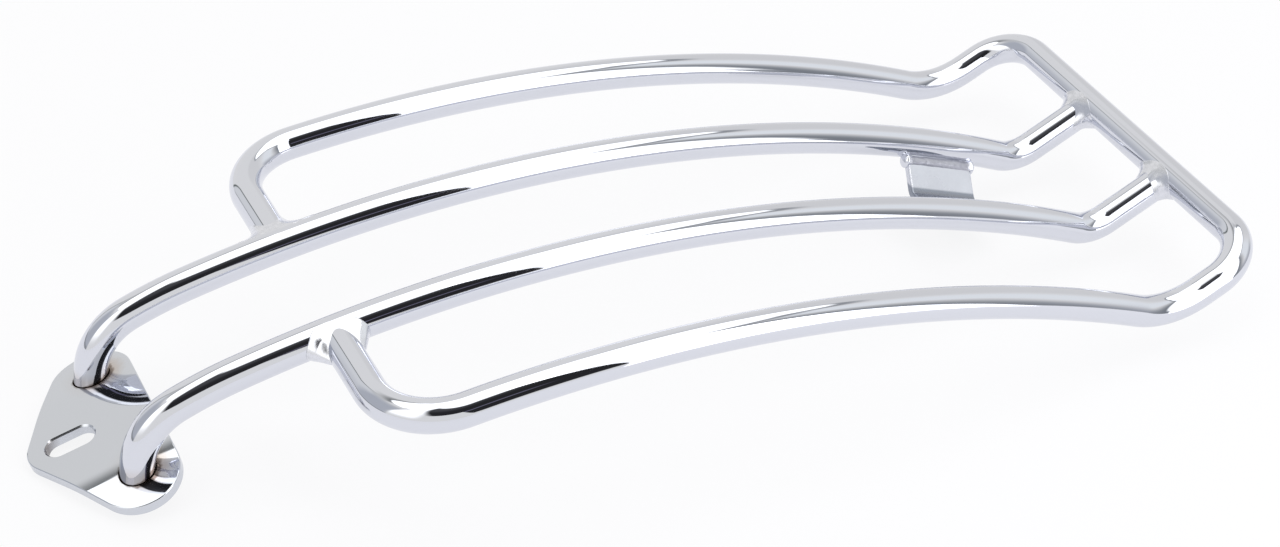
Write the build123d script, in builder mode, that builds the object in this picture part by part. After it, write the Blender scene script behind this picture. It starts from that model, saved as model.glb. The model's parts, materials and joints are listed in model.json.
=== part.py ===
"""Luggage rack for a motorcycle with a solo seat: chromed steel bars, a bolt-on front plate and a rear tab.

Millimetres and degrees. The origin is in the middle of the front plate's underside, between the rail
holes. +X runs rearwards along the bike, +Y to its right and +Z up. Slopes are measured from level,
positive where the bar climbs towards the rear.
"""

import os
from math import cos, radians, sin, tan

from build123d import *

# Round bars
bar_d = 12.7                  # half-inch steel bar
rail_spacing = 57.5           # inner rails, centre to centre
hoop_spacing = 178.5          # the outer hoop's sides, centre to centre
hoop_drop = 1.75              # the hoop lies this much lower than the inner rails

# Side view of an inner rail, from the plate to the crossbar
rail_lean = 20.0              # the rail's foot leans rearwards from square to the plate
lead_length = 3.1             # straight run between the plate and the front bend
front_bend_radius = 25.4
shoulder_slope = 23.2         # slope where the front bend runs into the shoulder
shoulder_radius = 147.0
crown_front_slope = 14.4
crown_radius = 553.5
crown_rear_slope = -23.0
kick_radius = 19.05
tail_slope = 27.2             # the kicked-up ends of the rails and of the hoop

# Outer hoop
hoop_front_slope = 7.8        # slope of the hoop's sides where the front corners end
hoop_rear_slope = -21.9       # slope of the hoop's sides where they kick up
hoop_kick_radius = 36.0
hoop_tail_length = 27.0       # end of the hoop's kick to the crossbar's axis
front_corner_radius = 26.0
rear_corner_radius = 19.05

# Front plate
plate_slope = 16.0
plate_thickness = 4.0
plate_apex = 32.5             # front tip, ahead of the rail holes
apex_radius = 11.8
lobe_radius = 15.75           # rounded corners about the rail holes
fold_spacing = 43.6           # the two fold lines, either side of the centre
fold_angle = 9.4              # the ears drop by this angle
fold_radius = 60.0
plate_edge = 0.5              # the plate's outline is rounded over by this much
rail_clearance = 0.45         # gap round a rail in its hole
slot_offset = 16.2            # the slot's centre, ahead of the rail holes
slot_length = 18.5
slot_width = 9.5
slot_rim = 0.6                # polished chamfer round the slot

# Rear tab
tab_setback = 35.2            # start of the kick to the tab's middle, along the rail
tab_width = 33.3
tab_thickness = 3.0
tab_slant = 50.0              # the tab's leg leans towards the bike's middle
tab_drop = 14.8               # the rail's axis to the middle of the foot's thickness
tab_bend_radius = 6.0
tab_overhang = 8.5            # the foot's end, past the bike's middle
tab_corner_radius = 7.0
tab_edge = 0.8                # the strip's edges are rounded over by this much
tab_hole_d = 8.7              # clears an 8 mm bolt

# Welds
cope_gap = 3.0                # a coped bar stops this far short of the other bar's axis
plug_height = 3.4             # plug weld in each rail hole, a little short of the plate's top
rail_end_height = 1.0         # the rail's end, above the plate's underside
bead_leg = 5.0                # spread of a fillet bead along the carrying bar
bead_cap = 0.8                # height of a fillet bead over the bar
bead_run = 5.0                # run of a fillet bead along the bar that ends there
bead_toe = 0.3                # thickness of a fillet bead at its toe
tab_bead_d = 5.2
tab_blob_d = 6.8              # start and stop of the tab's bead

bar_r = bar_d / 2
rail_y = rail_spacing / 2
hoop_y = hoop_spacing / 2
sides = {"left": -1, "right": 1}
below = (Align.CENTER, Align.CENTER, Align.MAX)


def along(slope):
    """Unit vector that climbs rearwards at a slope."""
    return Vector(cos(radians(slope)), 0, sin(radians(slope)))


def above(slope):
    """Unit vector square to a bar of that slope, on its upper side."""
    return Vector(-sin(radians(slope)), 0, cos(radians(slope)))


# The plate's underside, and the underside of each folded ear where its rail hole is
plate_plane = Plane((0, 0, 0), x_dir=along(plate_slope), z_dir=above(plate_slope))
hole_middle = (rail_end_height + plate_thickness) / 2
rail_hole_r = bar_r + rail_clearance


def ear_plane(side):
    """Underside of one ear, with its origin where the rail hole's middle lies above it."""
    drop = radians(fold_angle)
    square = plate_plane.z_dir * cos(drop) + Vector(0, side * sin(drop), 0)
    fold = plate_plane.from_local_coords(Vector(0, side * fold_spacing / 2, 0))
    ear = Plane(fold, plate_plane.x_dir, square)
    overhang = (rail_y - fold_spacing / 2 - hole_middle * sin(drop)) / cos(drop)
    return Plane(ear.from_local_coords(Vector(0, side * overhang, 0)), ear.x_dir, ear.z_dir)


# Side view of the inner rails, in the bike's middle: foot, bend, shoulder, crown and kick
foot_slope = 90 + plate_slope - rail_lean
foot_hole = ear_plane(1).from_local_coords(Vector(0, 0, hole_middle))
foot_middle = Vector(foot_hole.X, 0, foot_hole.Z)
foot_planes = {
    name: Plane(foot_middle + Vector(0, side * rail_y, 0), z_dir=along(foot_slope))
    for name, side in sides.items()
}
foot_below = along(foot_slope) * plate_thickness * 2
foot_above = along(foot_slope) * ((plate_thickness - hole_middle) / cos(radians(rail_lean)) + lead_length)

with BuildLine(Plane.XZ) as side_view:
    foot = Line(foot_middle - foot_below, foot_middle + foot_above)
    bend = JernArc(foot @ 1, foot % 1, front_bend_radius, shoulder_slope - foot_slope)
    shoulder = JernArc(bend @ 1, bend % 1, shoulder_radius, crown_front_slope - shoulder_slope)
    crown = JernArc(shoulder @ 1, shoulder % 1, crown_radius, crown_rear_slope - crown_front_slope)
    kick = JernArc(crown @ 1, crown % 1, kick_radius, tail_slope - crown_rear_slope)

# The hoop's sides follow the same crown, a little lower, and kick up to the crossbar
crown_centre = crown.arc_center
hoop_radius = crown_radius - hoop_drop
hoop_crown_end = crown_centre + above(hoop_rear_slope) * hoop_radius
hoop_kick_centre = hoop_crown_end + above(hoop_rear_slope) * hoop_kick_radius
hoop_kick_end = hoop_kick_centre - above(tail_slope) * hoop_kick_radius
crossbar_axis = hoop_kick_end + along(tail_slope) * hoop_tail_length
crossbar_plane = Plane(crossbar_axis, x_dir=(1, 0, 0), z_dir=(0, 1, 0))

# The rails' tails run on, straight, into the crossbar
tail_length = (crossbar_axis - kick @ 1).dot(along(tail_slope)) - cope_gap
tail_end = kick @ 1 + along(tail_slope) * tail_length
with BuildLine() as rail_line:
    add(side_view.line)
    Line(kick @ 1, tail_end)

# Inner rails, trimmed level with the ear at the foot and coped over the crossbar at the tail
rails = {}
for name, side in sides.items():
    path = Pos(0, side * rail_y, 0) * rail_line.wire()
    with BuildPart() as rail:
        with BuildSketch(Plane(path @ 0, z_dir=path % 0)):
            Circle(bar_r)
        sweep(path=path)
        with Locations(ear_plane(side).offset(rail_end_height)):
            Cylinder(bar_d, bar_d, align=below, mode=Mode.SUBTRACT)
        with Locations(crossbar_plane):
            Cylinder(bar_r, hoop_spacing, mode=Mode.SUBTRACT)
    rail.part.label = f"{name}_inner_rail"
    rails[name] = rail.part

# Outer hoop: one bar, drawn as its right half and mirrored
hoop_shift = Vector(0, hoop_y, 0)
side_start = crown_centre + above(hoop_front_slope) * hoop_radius + hoop_shift
corner_start = side_start - along(hoop_front_slope) * front_corner_radius - Vector(0, front_corner_radius, 0)
leg_end = Vector(corner_start.X, rail_y + cope_gap, corner_start.Z)
kick_start = hoop_crown_end + hoop_shift
kick_end = hoop_kick_end + hoop_shift
rear_corner = crossbar_axis + hoop_shift
rear_corner_start = rear_corner - along(tail_slope) * rear_corner_radius
rear_corner_end = rear_corner - Vector(0, rear_corner_radius, 0)

with BuildLine() as hoop_path:
    Line(leg_end, corner_start)
    TangentArc(corner_start, side_start, tangent=(0, 1, 0))
    TangentArc(side_start, kick_start, tangent=along(hoop_front_slope))
    TangentArc(kick_start, kick_end, tangent=along(hoop_rear_slope))
    Line(kick_end, rear_corner_start)
    TangentArc(rear_corner_start, rear_corner_end, tangent=along(tail_slope))
    mirror(about=Plane.XZ)
    Line(rear_corner_end, rear_corner_end - Vector(0, 2 * rear_corner_end.Y, 0))

with BuildPart() as outer_hoop:
    with BuildSketch(Plane(leg_end, z_dir=(0, 1, 0))):
        Circle(bar_r)
    sweep(path=Wire(hoop_path.edges(), sequenced=True))
    for rail in rails.values():
        add(rail, mode=Mode.SUBTRACT)
outer_hoop.part.label = "outer_hoop"

# Front plate: the folded strip, trimmed to its outline, with the slot and the rail holes
plate_reach = plate_apex + lobe_radius
ear_reach = rail_y + lobe_radius
ear_fall = (ear_reach - fold_spacing / 2) * tan(radians(fold_angle))
fold_section = Plane((0, 0, 0), x_dir=(0, 1, 0), z_dir=plate_plane.x_dir)

with BuildPart() as front_plate:
    with BuildSketch(fold_section):
        with BuildLine():
            FilletPolyline(
                (-ear_reach, -ear_fall),
                (-fold_spacing / 2, 0),
                (fold_spacing / 2, 0),
                (ear_reach, -ear_fall),
                radius=fold_radius,
            )
            offset(amount=plate_thickness, side=Side.LEFT)
        make_face()
    extrude(amount=plate_reach, both=True)
    with BuildSketch(plate_plane):
        with Locations((apex_radius - plate_apex, 0)):
            Circle(apex_radius)
        with Locations((0, -rail_y), (0, rail_y)):
            Circle(lobe_radius)
        make_hull()
    extrude(amount=plate_reach, both=True, mode=Mode.INTERSECT)
    walls = [face for face in front_plate.faces() if face.normal_at().dot(plate_plane.z_dir) ** 2 < 0.1]
    wall_edges = [edge for face in walls for edge in face.edges()]
    outline = [edge for edge in wall_edges if (edge % 0.5).dot(plate_plane.z_dir) ** 2 < 0.5]
    fillet(outline, plate_edge)
    with BuildSketch(plate_plane):
        with Locations((-slot_offset, 0)):
            SlotOverall(slot_length, slot_width)
    extrude(amount=plate_thickness, mode=Mode.SUBTRACT)
    top_face = front_plate.faces().filter_by(Axis((0, 0, 0), plate_plane.z_dir)).sort_by(Axis.Z)[-1]
    chamfer(top_face.inner_wires()[0].edges(), slot_rim)
    with Locations(*foot_planes.values()):
        Cylinder(rail_hole_r, plate_reach, mode=Mode.SUBTRACT)
front_plate.part.label = "front_plate"

# Rear tab: a bent strip that hangs from the right rail, with its bolt hole in the bike's middle
tab_station = crown.length - tab_setback
tab_tangent = crown.tangent_at(tab_station, PositionMode.LENGTH)
tab_origin = crown.position_at(tab_station, PositionMode.LENGTH) + Vector(0, rail_y, 0)
tab_plane = Plane(tab_origin, x_dir=(0, 1, 0), z_dir=tab_tangent)
tab_bend_x = -tab_drop * tan(radians(tab_slant))
foot_end_x = -rail_y - tab_overhang
foot_top = tab_plane.from_local_coords(Vector(-rail_y, -tab_drop + tab_thickness / 2, 0))

with BuildPart() as rear_tab:
    with BuildSketch(tab_plane):
        with BuildLine() as strip:
            FilletPolyline((0, 0), (tab_bend_x, -tab_drop), (foot_end_x, -tab_drop), radius=tab_bend_radius)
        trace(strip.line, tab_thickness)
    extrude(amount=tab_width / 2, both=True)
    foot_corners = rear_tab.edges().filter_by(Axis(tab_origin, tab_plane.y_dir)).sort_by(Axis.Y)[:2]
    fillet(foot_corners, tab_corner_radius)
    square_edges = (tab_width, tab_thickness)
    rim = [edge for edge in rear_tab.edges() if all(abs(edge.length - size) > 0.01 for size in square_edges)]
    fillet(rim, tab_edge)
    with Locations(Plane(foot_top, x_dir=(0, 1, 0), z_dir=tab_plane.y_dir)):
        Hole(tab_hole_d / 2)
    add(rails["right"], mode=Mode.SUBTRACT)
rear_tab.part.label = "rear_tab"


def fillet_bead(root, toe, bars):
    """Bead where one bar ends on another: an oval root on the carrying bar, a ring round the other one."""
    with BuildPart() as bead:
        with BuildSketch(root):
            Ellipse(bar_r + bead_leg, bar_r + bead_cap)
        with BuildSketch(toe):
            Circle(bar_r + bead_toe)
        loft()
        for bar in bars:
            add(bar, mode=Mode.SUBTRACT)
    return bead.part


# Welds at the hoop's legs, at the crossbar, in the plate's holes and along the tab
welds = {}
leg_on_rail = crown_centre + (Vector(leg_end.X, 0, leg_end.Z) - crown_centre).normalized() * crown_radius
toe_reach = bar_r + bead_run
for name, side in sides.items():
    rail = rails[name]
    outward = Vector(0, side, 0)
    rail_middle = Vector(0, side * rail_y, 0)

    leg_axis = Vector(leg_end.X, 0, leg_end.Z) + rail_middle
    leg_slope = along(hoop_front_slope)
    leg_root = Plane(leg_on_rail + rail_middle + outward * cope_gap, x_dir=leg_slope, z_dir=outward)
    leg_ring = Plane(leg_axis + outward * toe_reach, x_dir=leg_slope, z_dir=outward)
    welds[f"{name}_leg_weld"] = fillet_bead(leg_root, leg_ring, [rail, outer_hoop.part])

    forward = along(tail_slope) * -1
    tail_root = Plane(crossbar_axis + rail_middle + forward * cope_gap, x_dir=(0, 1, 0), z_dir=forward)
    tail_toe = tail_end + rail_middle + forward * (toe_reach - cope_gap)
    tail_ring = Plane(tail_toe, x_dir=(0, 1, 0), z_dir=forward)
    welds[f"{name}_crossbar_weld"] = fillet_bead(tail_root, tail_ring, [rail, outer_hoop.part])

    with BuildPart() as plug:
        with BuildSketch(ear_plane(side)):
            Circle(lobe_radius)
        extrude(amount=plug_height)
        with Locations(foot_planes[name]):
            Cylinder(rail_hole_r, plate_reach, mode=Mode.INTERSECT)
        add(rail, mode=Mode.SUBTRACT)
    welds[f"{name}_plate_weld"] = plug.part

leg_reach = (bar_r**2 - (tab_thickness / 2) ** 2) ** 0.5
leg_down = Vector(-sin(radians(tab_slant)), -cos(radians(tab_slant)), 0)
leg_inward = Vector(-cos(radians(tab_slant)), sin(radians(tab_slant)), 0)
for name, face in (("inner", 1), ("outer", -1)):
    corner = tab_plane.from_local_coords(leg_down * leg_reach + leg_inward * face * tab_thickness / 2)
    bead_plane = Plane(corner, tab_plane.x_dir, tab_plane.z_dir)
    with BuildPart() as bead:
        with Locations(bead_plane):
            Cylinder(tab_bead_d / 2, tab_width if name == "inner" else tab_width - tab_blob_d)
        if name == "inner":
            with Locations(bead_plane.offset(-tab_width / 2), bead_plane.offset(tab_width / 2)):
                Sphere(tab_blob_d / 2)
        add(rails["right"], mode=Mode.SUBTRACT)
        add(rear_tab.part, mode=Mode.SUBTRACT)
    welds[f"tab_{name}_weld"] = bead.part

for name, bead in welds.items():
    bead.label = name

os.makedirs("parts", exist_ok=True)
for piece in [outer_hoop.part, front_plate.part, rear_tab.part, *rails.values(), *welds.values()]:
    export_step(piece, f"parts/{piece.label}.step")
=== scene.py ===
"""Chromed luggage rack for a motorcycle with a solo seat.

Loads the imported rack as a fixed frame, gives it smooth mirror-polished bars, lumpy welds and chrome
with its heat tint, and stands it on a pale floor in a plain studio. Lengths in the tables are
millimetres in the rack's own frame: +X rearwards, +Y to the bike's right, +Z up.
"""

import json
from collections import namedtuple
from math import atan2, cos, degrees, pi, radians, sin

import bpy
import numpy as np
from mathutils import Matrix, Vector

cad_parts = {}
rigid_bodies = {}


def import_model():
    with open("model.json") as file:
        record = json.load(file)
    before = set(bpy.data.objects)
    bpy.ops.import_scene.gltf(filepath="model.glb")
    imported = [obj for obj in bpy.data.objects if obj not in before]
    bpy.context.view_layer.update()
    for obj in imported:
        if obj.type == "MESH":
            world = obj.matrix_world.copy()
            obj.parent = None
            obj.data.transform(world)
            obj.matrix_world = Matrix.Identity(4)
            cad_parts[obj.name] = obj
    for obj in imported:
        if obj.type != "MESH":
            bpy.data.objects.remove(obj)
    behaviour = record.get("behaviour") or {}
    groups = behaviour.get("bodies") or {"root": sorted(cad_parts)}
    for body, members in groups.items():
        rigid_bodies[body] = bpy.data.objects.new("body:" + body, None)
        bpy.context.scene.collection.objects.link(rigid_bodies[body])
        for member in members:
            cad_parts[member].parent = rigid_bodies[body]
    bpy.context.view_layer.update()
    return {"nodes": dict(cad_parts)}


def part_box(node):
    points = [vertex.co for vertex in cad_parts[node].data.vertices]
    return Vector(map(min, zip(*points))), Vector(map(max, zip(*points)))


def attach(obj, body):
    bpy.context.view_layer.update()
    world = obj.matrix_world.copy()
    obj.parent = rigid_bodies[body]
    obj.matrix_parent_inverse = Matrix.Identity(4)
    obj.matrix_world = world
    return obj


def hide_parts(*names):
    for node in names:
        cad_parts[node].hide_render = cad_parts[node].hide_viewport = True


for leftover in list(bpy.data.objects):
    bpy.data.objects.remove(leftover, do_unlink=True)
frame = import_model()

bl_info = {
    "name": "Luggage rack dresser",
    "version": (1, 0, 0),
    "blender": (4, 5, 0),
    "location": "View3D > Sidebar > Rack",
    "description": "Dresses a chromed motorcycle luggage rack and sets it in a studio",
    "category": "Object",
}

MM = 0.001


def linear(hex_colour):
    """An sRGB hex colour as linear red, green and blue."""
    srgb = np.array([int(hex_colour[i:i + 2], 16) for i in (1, 3, 5)]) / 255
    return tuple(np.where(srgb <= 0.04045, srgb / 12.92, ((srgb + 0.055) / 1.055) ** 2.4))


# Sizes and colours that a user would change

RAIL_LOW, RAIL_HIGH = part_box("left_inner_rail")


class RackSizes(bpy.types.PropertyGroup):
    """Sizes of the rack's dressed pieces."""

    bar_diameter: bpy.props.FloatProperty(
        name="Bar diameter", description="Diameter of the round bars",
        default=float(RAIL_HIGH[1] - RAIL_LOW[1]), unit="LENGTH")
    bead_spread: bpy.props.FloatProperty(
        name="Bead spread", description="How far a joint's weld spreads along the bar that carries it",
        default=5.0 * MM, unit="LENGTH")
    bead_run: bpy.props.FloatProperty(
        name="Bead run", description="How far a joint's weld runs up the bar that ends there",
        default=2.6 * MM, unit="LENGTH")
    puddle_height: bpy.props.FloatProperty(
        name="Puddle height", description="Height of the weld's lumps",
        default=0.45 * MM, unit="LENGTH")
    tab_bead_diameter: bpy.props.FloatProperty(
        name="Tab bead diameter", description="Thickness of the weld along the tab",
        default=5.2 * MM, unit="LENGTH")
    plug_rise: bpy.props.FloatProperty(
        name="Plug rise", description="How far a plug weld swells below the plate",
        default=0.5 * MM, unit="LENGTH")


class RackColours(bpy.types.PropertyGroup):
    """Colours of the rack's finishes and of the floor."""

    chrome: bpy.props.FloatVectorProperty(
        name="Chrome", description="Mirror chrome of the bars", subtype="COLOR",
        default=linear("#DBDDE5"))
    plate_chrome: bpy.props.FloatVectorProperty(
        name="Plate chrome", description="Chrome of the front plate", subtype="COLOR",
        default=linear("#D1D4DB"))
    tab_chrome: bpy.props.FloatVectorProperty(
        name="Tab chrome", description="Satin chrome of the rear tab", subtype="COLOR",
        default=linear("#E2E4EC"))
    weld_chrome: bpy.props.FloatVectorProperty(
        name="Weld chrome", description="Chrome over the welds of the bars", subtype="COLOR",
        default=linear("#EBECF3"))
    straw: bpy.props.FloatVectorProperty(
        name="Straw tint", description="Heat tint on the chrome round the rail holes", subtype="COLOR",
        default=linear("#BDAC9E"))
    scale: bpy.props.FloatVectorProperty(
        name="Weld scale", description="Burnt brown scale of the plug welds", subtype="COLOR",
        default=linear("#5A4636"))
    floor: bpy.props.FloatVectorProperty(
        name="Floor", description="Pale floor", subtype="COLOR", default=linear("#EAEAF2"))


# Small helpers

def add_node(tree, kind, inputs=None, **settings):
    """Adds a node, sets its properties, and links or fills its inputs; returns the node.

    An input that is given a node is linked to the first output that the node has in use.
    """
    node = tree.nodes.new(kind)
    for name, value in settings.items():
        setattr(node, name, value)
    for socket, value in (inputs or {}).items():
        if isinstance(value, bpy.types.Node):
            value = next(output for output in value.outputs if output.enabled)
        if isinstance(value, bpy.types.NodeSocket):
            tree.links.new(value, node.inputs[socket])
        else:
            node.inputs[socket].default_value = value
    return node


def new_material(name):
    """A material and its empty node tree."""
    material = bpy.data.materials.new(name)
    material.use_nodes = True
    material.node_tree.nodes.clear()
    return material, material.node_tree


def mesh_piece(name, points, faces, material, uv=None):
    """A mesh object at the origin from points in millimetres: smooth quads, flat triangles."""
    mesh = bpy.data.meshes.new(name)
    mesh.from_pydata((points * MM).tolist(), [], faces)
    mesh.validate()
    mesh.polygons.foreach_set("use_smooth", [len(face) == 4 for face in faces])
    if uv is not None:
        layer = mesh.uv_layers.new(name="UVMap")
        corner = np.empty(len(mesh.loops), dtype=np.int32)
        mesh.loops.foreach_get("vertex_index", corner)
        layer.data.foreach_set("uv", uv[corner].astype(np.float32).ravel())
    mesh.materials.append(material)
    piece = bpy.data.objects.new(name, mesh)
    bpy.context.scene.collection.objects.link(piece)
    return piece


def ring_faces(rows, columns, closed_rows=False):
    """Quads of a grid whose columns wrap round, and whose rows wrap too if they are closed."""
    index = np.arange(rows * columns).reshape(rows, columns)
    near = index if closed_rows else index[:-1]
    far = np.roll(index, -1, axis=0) if closed_rows else index[1:]
    quads = np.stack([near, np.roll(near, -1, axis=1), np.roll(far, -1, axis=1), far], axis=-1)
    return quads.reshape(-1, 4).tolist()


def closed_rings(rings):
    """Points and faces of a tube of rings, each end closed by a fan to the middle of its ring."""
    rows, columns, _ = rings.shape
    points = np.concatenate([rings.reshape(-1, 3), [rings[0].mean(axis=0)], [rings[-1].mean(axis=0)]])
    faces = ring_faces(rows, columns)
    turn = np.arange(columns)
    step = np.roll(turn, -1)
    first, last = rows * columns, rows * columns + 1
    faces += np.stack([step, turn, np.full(columns, first)], axis=-1).tolist()
    base = (rows - 1) * columns
    faces += np.stack([base + turn, base + step, np.full(columns, last)], axis=-1).tolist()
    return points, faces


def along(slope):
    """Unit vector that climbs rearwards at a slope in degrees."""
    return np.array([cos(radians(slope)), 0, sin(radians(slope))])


def above(slope):
    """Unit vector square to a bar of that slope, on its upper side."""
    return np.array([-sin(radians(slope)), 0, cos(radians(slope))])


def bent_path(start, heading, runs):
    """Points and tangents of a bar's axis: straight runs and arcs, each starting where the last ends.

    A run is (length, None, None) or (angle in degrees, radius, turning axis). On an arc the point
    turns about a centre that stands one radius to the side, so it is centre + turned arm. An arc's
    steps turn by 2.5 degrees at most and are 4 mm long at most.
    """
    widest_turn, longest_step, fewest_steps = 2.5, 4, 8
    point, tangent = np.array(start, float), np.array(heading, float)
    points, tangents = [point[None]], [tangent[None]]
    for amount, radius, axis in runs:
        if radius is None:
            point = point + tangent * amount
            points.append(point[None])
            tangents.append(tangent[None])
            continue
        axis = np.array(axis, float)
        side = np.cross(axis, tangent)
        centre = point + side * radius
        wanted = max(amount / widest_turn, radians(amount) * radius / longest_step)
        steps = max(fewest_steps, int(np.ceil(wanted)))
        turn = np.radians(np.linspace(0, amount, steps + 1))[1:, None]
        points.append(centre + radius * (np.sin(turn) * tangent - np.cos(turn) * side))
        tangents.append(np.cos(turn) * tangent + np.sin(turn) * side)
        point, tangent = points[-1][-1], tangents[-1][-1]
    return np.concatenate(points), np.concatenate(tangents)


def swept_bar(points, tangents, upright, radius, around=96):
    """Rings of a round bar: axis + radius x (cos t x first normal + sin t x second normal).

    The first normal is the upright direction made square to the axis, so the rings don't twist.
    """
    first = upright - (tangents @ upright)[:, None] * tangents
    first /= np.linalg.norm(first, axis=1, keepdims=True)
    second = np.cross(tangents, first)
    turn = np.linspace(0, 2 * pi, around, endpoint=False)[None, :, None]
    return points[:, None] + radius * (np.cos(turn) * first[:, None] + np.sin(turn) * second[:, None])


def held_ends(rings, inset=0.02):
    """The rings with one more just inside each end, so that the closed ends don't bend the shading.

    The inset is a share of the way to the next ring.
    """
    first = rings[:1] + inset * (rings[1:2] - rings[:1])
    last = rings[-1:] + inset * (rings[-2:-1] - rings[-1:])
    return np.concatenate([rings[:1], first, rings[1:-1], last, rings[-1:]])


# The rack as the part's source has it; a slope is in degrees, and positive where a bar climbs rearwards

SIDES = (("left", -1), ("right", 1))
RIGHT, UP = np.array([0, 1.0, 0]), np.array([0, 0, 1.0])
COPE_GAP, RAIL_END_HEIGHT = 3.0, 1.0
RAIL_Y, HOOP_Y = 28.75, 89.25
FOOT_SLOPE, SHOULDER_SLOPE, CROWN_FRONT_SLOPE, CROWN_REAR_SLOPE, TAIL_SLOPE = 86, 23.2, 14.4, -23.0, 27.2
FOOT_LENGTH, FRONT_BEND, SHOULDER_RADIUS, CROWN_RADIUS, RAIL_KICK = 12.7, 25.4, 147.0, 553.5, 19.05
HOOP_FRONT_SLOPE, HOOP_REAR_SLOPE = 7.8, -21.9
HOOP_DROP, HOOP_TAIL_LENGTH = 1.75, 27.0
FRONT_CORNER, HOOP_KICK, REAR_CORNER = 26.0, 36.0, 19.05
FOOT, TAIL, TAIL_UP = along(FOOT_SLOPE), along(TAIL_SLOPE), above(TAIL_SLOPE)
FOOT_START = np.array([-0.9394, RAIL_Y, -6.6506])
LEG_START = np.array([73.64, RAIL_Y + COPE_GAP, 41.863])
CROWN_CENTRE = np.array([174.2802, 0, -501.253])
CROSSBAR = np.array([433.974, 0, 24.405])
LEG_FROM_CROWN = LEG_START * (1, 0, 1) - CROWN_CENTRE
LEG_SLOPE = degrees(atan2(-LEG_FROM_CROWN[0], LEG_FROM_CROWN[2]))
LEG_HEIGHT = np.linalg.norm(LEG_FROM_CROWN) - CROWN_RADIUS
PLATE_SLOPE = 16
EAR_POINT = np.array([-0.57, RAIL_Y, -1.36])
EAR_NORMAL = np.array([-0.271936, 0.163326, 0.948354])
TAB_HEADING, TAB_UP = (0.94348, 0, -0.33144), (0.33144, 0, 0.94348)
TAB_ORIGIN = (357.733, RAIL_Y, 20.961)


def saddle_reach(height, radius):
    """Distance from a bar's axis to its surface at a height across it, or the cope gap past its edge."""
    return np.sqrt(np.maximum(radius**2 - height**2, COPE_GAP**2))


def hoop_rings(radius):
    """Rings of the outer hoop: its right half swept from the leg to the middle, and the mirror image.

    Both legs are coped to the rails: each end point's Y is that of the rail's surface at its height.
    """
    points, tangents = bent_path(LEG_START, RIGHT, (
        (HOOP_Y - FRONT_CORNER - LEG_START[1], None, None),
        (90, FRONT_CORNER, np.cross(RIGHT, along(HOOP_FRONT_SLOPE))),
        (HOOP_FRONT_SLOPE - HOOP_REAR_SLOPE, CROWN_RADIUS - HOOP_DROP, RIGHT),
        (TAIL_SLOPE - HOOP_REAR_SLOPE, HOOP_KICK, -RIGHT),
        (HOOP_TAIL_LENGTH - REAR_CORNER, None, None),
        (90, REAR_CORNER, np.cross(TAIL, -RIGHT)),
        (HOOP_Y - REAR_CORNER, None, None),
    ))
    flip = np.array([1, -1, 1])
    points = np.concatenate([points, points[-2::-1] * flip])
    tangents = np.concatenate([tangents, -tangents[-2::-1] * flip])
    rings = swept_bar(points, tangents, UP, radius)
    for end, side in ((0, 1), (-1, -1)):
        spoke = rings[end] - CROWN_CENTRE
        height = np.hypot(spoke[:, 0], spoke[:, 2]) - CROWN_RADIUS
        rings[end, :, 1] = side * (RAIL_Y + saddle_reach(height, radius))
    return held_ends(rings)


def rail_rings(side, radius):
    """Rings of an inner rail: foot, front bend, shoulder, crown, kick and tail.

    The foot is cut level with the ear and the tail is coped to the crossbar: each end point slides
    along the bar to the ear's plane or to the crossbar's surface.
    """
    flip = (1, side, 1)
    stub = 1.0
    points, tangents = bent_path(FOOT_START * flip, FOOT, (
        (FOOT_LENGTH, None, None),
        (FOOT_SLOPE - SHOULDER_SLOPE, FRONT_BEND, RIGHT),
        (SHOULDER_SLOPE - CROWN_FRONT_SLOPE, SHOULDER_RADIUS, RIGHT),
        (CROWN_FRONT_SLOPE - CROWN_REAR_SLOPE, CROWN_RADIUS, RIGHT),
        (TAIL_SLOPE - CROWN_REAR_SLOPE, RAIL_KICK, -RIGHT),
        (stub, None, None),
    ))
    points[-1] += TAIL * ((CROSSBAR - points[-1]) @ TAIL - COPE_GAP)
    rings = swept_bar(points, tangents, RIGHT, radius)
    normal = EAR_NORMAL * flip
    cut = EAR_POINT * flip + RAIL_END_HEIGHT * normal
    slide = (cut - rings[0]) @ normal / (tangents[0] @ normal)
    rings[0] += slide[:, None] * tangents[0]
    to_axis = (CROSSBAR - rings[-1]) * (1, 0, 1)
    slide = to_axis @ TAIL - saddle_reach(to_axis @ TAIL_UP, radius)
    rings[-1] += slide[:, None] * TAIL
    return held_ends(rings)


def bar_piece(name, node, rings, radius, material):
    """A bar's mesh with a UV map in metres, round it and along it, standing for its CAD node."""
    points, faces = closed_rings(rings)
    middle = rings.mean(axis=1)
    length = np.concatenate([[0], np.cumsum(np.linalg.norm(np.diff(middle, axis=0), axis=1))])
    girth = np.linspace(0, 2 * pi, rings.shape[1], endpoint=False) * radius
    grid = np.stack(np.broadcast_arrays(girth[None], length[:, None]), axis=-1).reshape(-1, 2)
    uv = np.concatenate([grid, [[0, 0]], [[0, length[-1]]]]) * MM
    piece = mesh_piece(name, points, faces, material, uv)
    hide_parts(node)
    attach(piece, "root")


# Welds: a bead's spread, run and lumps are shares of the sizes, its top run and swell are millimetres

BeadForm = namedtuple("BeadForm", "spread run top_run swell sideways lumps filling")
LEFT_LEG_BEAD = BeadForm(spread=1.2, run=3.0, top_run=1.2, swell=0.4, sideways=2, lumps=0.55, filling=0.8)
RIGHT_LEG_BEAD = BeadForm(spread=2.2, run=4.0, top_run=3.6, swell=0.3, sideways=0, lumps=0.1, filling=0)
CROSSBAR_BEAD = BeadForm(spread=0.9, run=1.9, top_run=4.4, swell=0.9, sideways=0, lumps=0.5, filling=0)
LEG_ROUGH, CROSSBAR_ROUGH = 0.5, radians(200)
PLUG_RADIUS, PLUG_HEIGHT = 6.8, 3.4


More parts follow.
